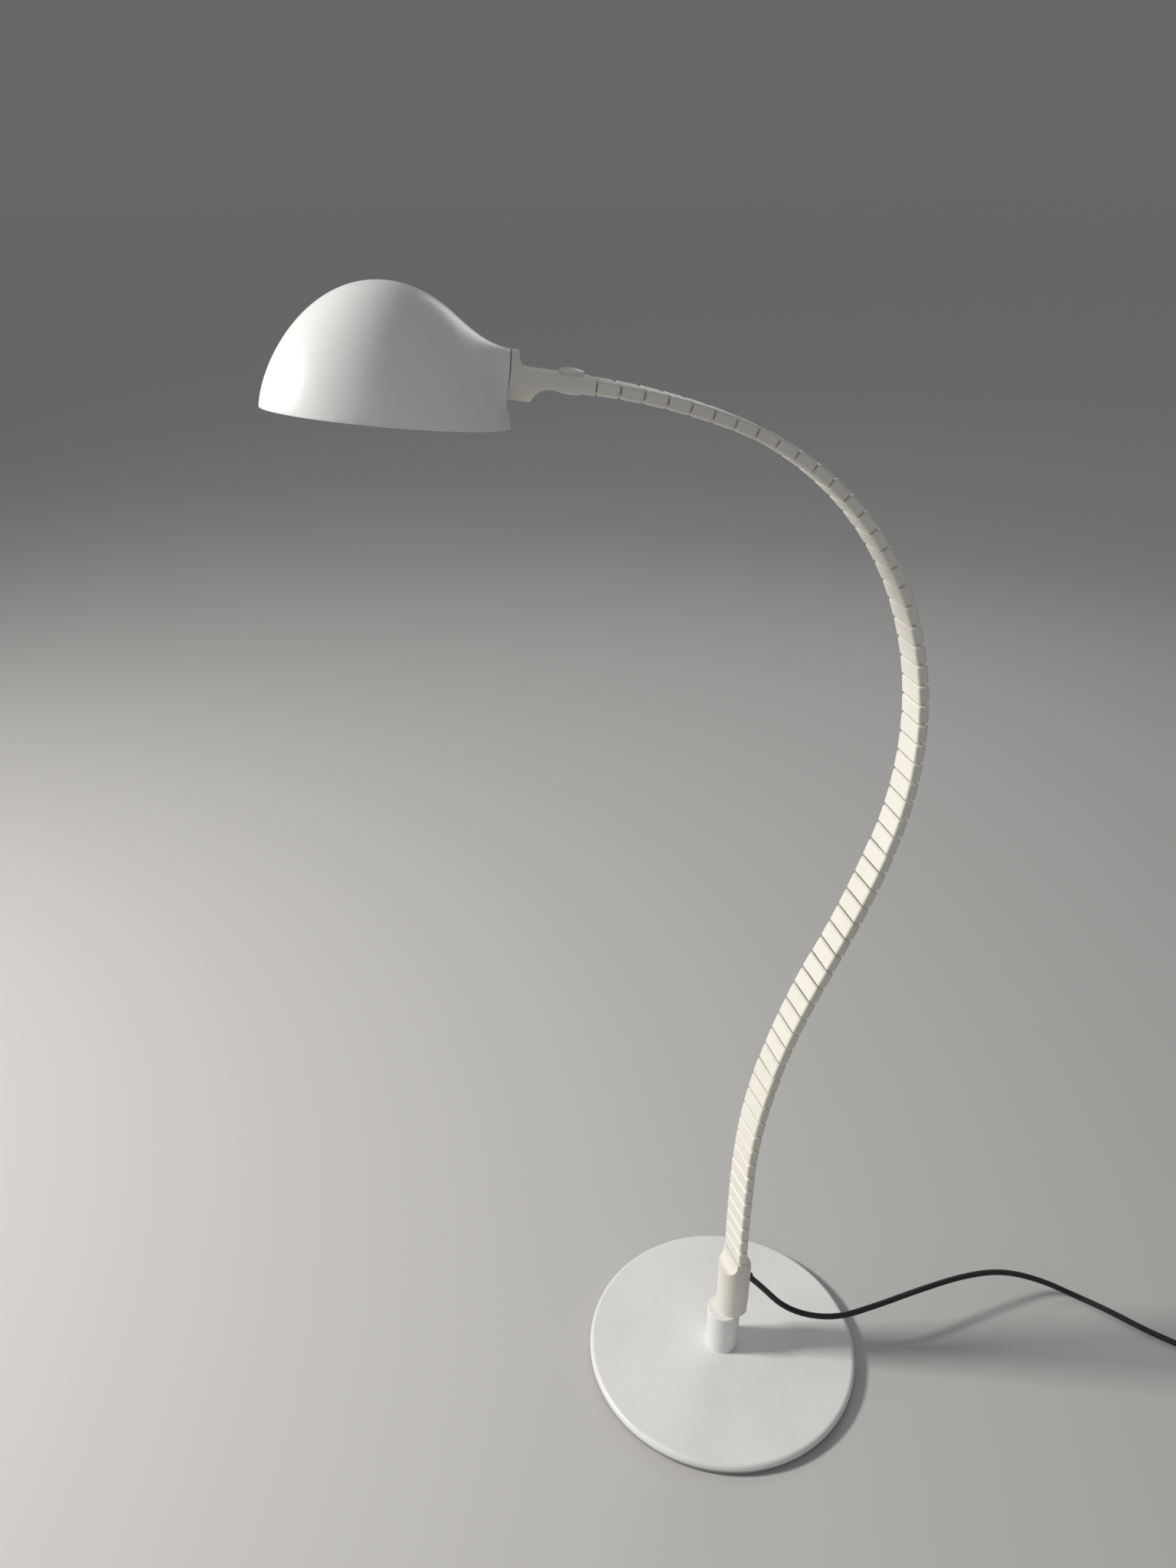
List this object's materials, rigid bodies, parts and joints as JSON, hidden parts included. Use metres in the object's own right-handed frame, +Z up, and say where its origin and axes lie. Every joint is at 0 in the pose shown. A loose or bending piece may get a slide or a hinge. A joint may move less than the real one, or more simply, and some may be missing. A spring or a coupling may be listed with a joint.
{
  "type": "gooseneck reading floor lamp",
  "caption": "Floor lamp with a round weighted base, a segmented flat gooseneck that bends and holds, a push switch in the end connector and a half-egg shade that turns on it.",
  "frame": {"origin": "centre of the underside of the round base", "axes": "+Z up, +X from the post towards the side where the mains lead leaves the lower connector"},
  "size_m": [0.8909, 0.353, 0.9454],
  "materials": {
    "cover": "satin",
    "ballast": "rough zinc",
    "pad": "matt",
    "post": "satin",
    "steel": "turned",
    "zinc": "zinc plated",
    "bush": "plain",
    "connector": "satin",
    "links": "satin",
    "core": "spring steel",
    "lead": "matt",
    "black": "matt",
    "switch": "satin",
    "shade": "gloss lacquer",
    "holder": "satin",
    "glass": "opal",
    "brass": "nickelled"
  },
  "bodies": {
    "base": {"base_cover": "cover", "ballast_plate": "ballast", "base_pad": "pad", "post": "post", "post_foot": "steel", "post_bolt": "zinc", "post_washer": "zinc", "swivel_bush": "bush", "friction_washer": "steel"},
    "lower_stem": {"lower_connector": "connector", "swivel_pin": "steel", "retaining_clip": "steel", "cord_sleeve": "black", "core_anchor_lower": "core", "mains_cord": "lead", "cord_coil": "lead", "cord_tie": "black", "plug_body": "black", "plug_pins": "brass"},
    "neck_1": {"neck_links_1": "links", "neck_core_1": "core"},
    "neck_2": {"neck_links_2": "links", "neck_core_2": "core"},
    "neck_3": {"neck_links_3": "links", "neck_core_3": "core"},
    "neck_4": {"neck_links_4": "links", "neck_core_4": "core"},
    "neck_5": {"neck_links_5": "links", "neck_core_5": "core"},
    "neck_6": {"neck_links_6": "links", "neck_core_6": "core"},
    "neck_7": {"neck_links_7": "links", "neck_core_7": "core"},
    "neck_8": {"neck_links_8": "links", "neck_core_8": "core"},
    "neck_9": {"neck_links_9": "links", "neck_core_9": "core"},
    "upper_stem": {"upper_connector": "connector", "core_anchor_upper": "core", "switch_body": "black", "switch_cap_lower": "switch", "spindle_screw": "zinc"},
    "switch": {"switch_button": "switch"},
    "shade_unit": {"shade": "shade", "shade_washer": "black", "shade_spindle": "zinc", "spindle_nut": "zinc", "lampholder": "holder", "holder_ring": "holder", "bulb_cap": "brass", "bulb_glass": "glass"}
  },
  "joints": [
    {"name": "base_swivel", "type": "hinge", "parent": "base", "child": "lower_stem", "pos_m": [0, 0, 0.057], "axis": [0, 0, 1], "range_deg": [-170, 170]},
    {"name": "neck_bend_1", "type": "hinge", "parent": "lower_stem", "child": "neck_1", "pos_m": [0.008, 0, 0.126], "axis": [0, 1, 0], "range_deg": [-12, 12]},
    {"name": "neck_bend_2", "type": "hinge", "parent": "neck_1", "child": "neck_2", "pos_m": [0.00907, 0, 0.23329], "axis": [0, 1, 0], "range_deg": [-12, 12]},
    {"name": "neck_bend_3", "type": "hinge", "parent": "neck_2", "child": "neck_3", "pos_m": [0.02547, -0.00059, 0.33908], "axis": [0.0462, 0.9989, -0.0016], "range_deg": [-12, 12]},
    {"name": "neck_bend_4", "type": "hinge", "parent": "neck_3", "child": "neck_4", "pos_m": [0.06366, -0.00265, 0.43918], "axis": [0.0906, 0.9958, -0.0141], "range_deg": [-12, 12]},
    {"name": "neck_bend_5", "type": "hinge", "parent": "neck_4", "child": "neck_5", "pos_m": [0.10434, -0.00462, 0.53838], "axis": [0.1318, 0.9907, -0.0344], "range_deg": [-12, 12]},
    {"name": "neck_bend_6", "type": "hinge", "parent": "neck_5", "child": "neck_6", "pos_m": [0.11958, -0.00207, 0.64397], "axis": [0.1751, 0.9833, -0.049], "range_deg": [-12, 12]},
    {"name": "neck_bend_7", "type": "hinge", "parent": "neck_6", "child": "neck_7", "pos_m": [0.10089, 0.0057, 0.73323], "axis": [0.1751, 0.9833, -0.049], "range_deg": [-12, 12]},
    {"name": "neck_bend_8", "type": "hinge", "parent": "neck_7", "child": "neck_8", "pos_m": [0.05105, 0.01834, 0.80871], "axis": [0.1751, 0.9833, -0.049], "range_deg": [-12, 12]},
    {"name": "neck_bend_9", "type": "hinge", "parent": "neck_8", "child": "neck_9", "pos_m": [-0.02433, 0.03421, 0.85786], "axis": [0.1751, 0.9833, -0.049], "range_deg": [-12, 12]},
    {"name": "neck_bend_10", "type": "hinge", "parent": "neck_9", "child": "upper_stem", "pos_m": [-0.11134, 0.0509, 0.88196], "axis": [0.1751, 0.9833, -0.049], "range_deg": [-12, 12]},
    {"name": "shade_turn", "type": "hinge", "parent": "upper_stem", "child": "shade_unit", "pos_m": [-0.16373, 0.06067, 0.89066], "axis": [-0.9702, 0.1808, 0.1612], "range_deg": [-90, 90]},
    {"name": "switch_press", "type": "slide", "parent": "upper_stem", "child": "switch", "axis": [-0.1673, -0.0193, -0.9857], "range_m": [0, 0.002], "stiffness_N_per_m": 400, "springref_m": -0.001}
  ]
}
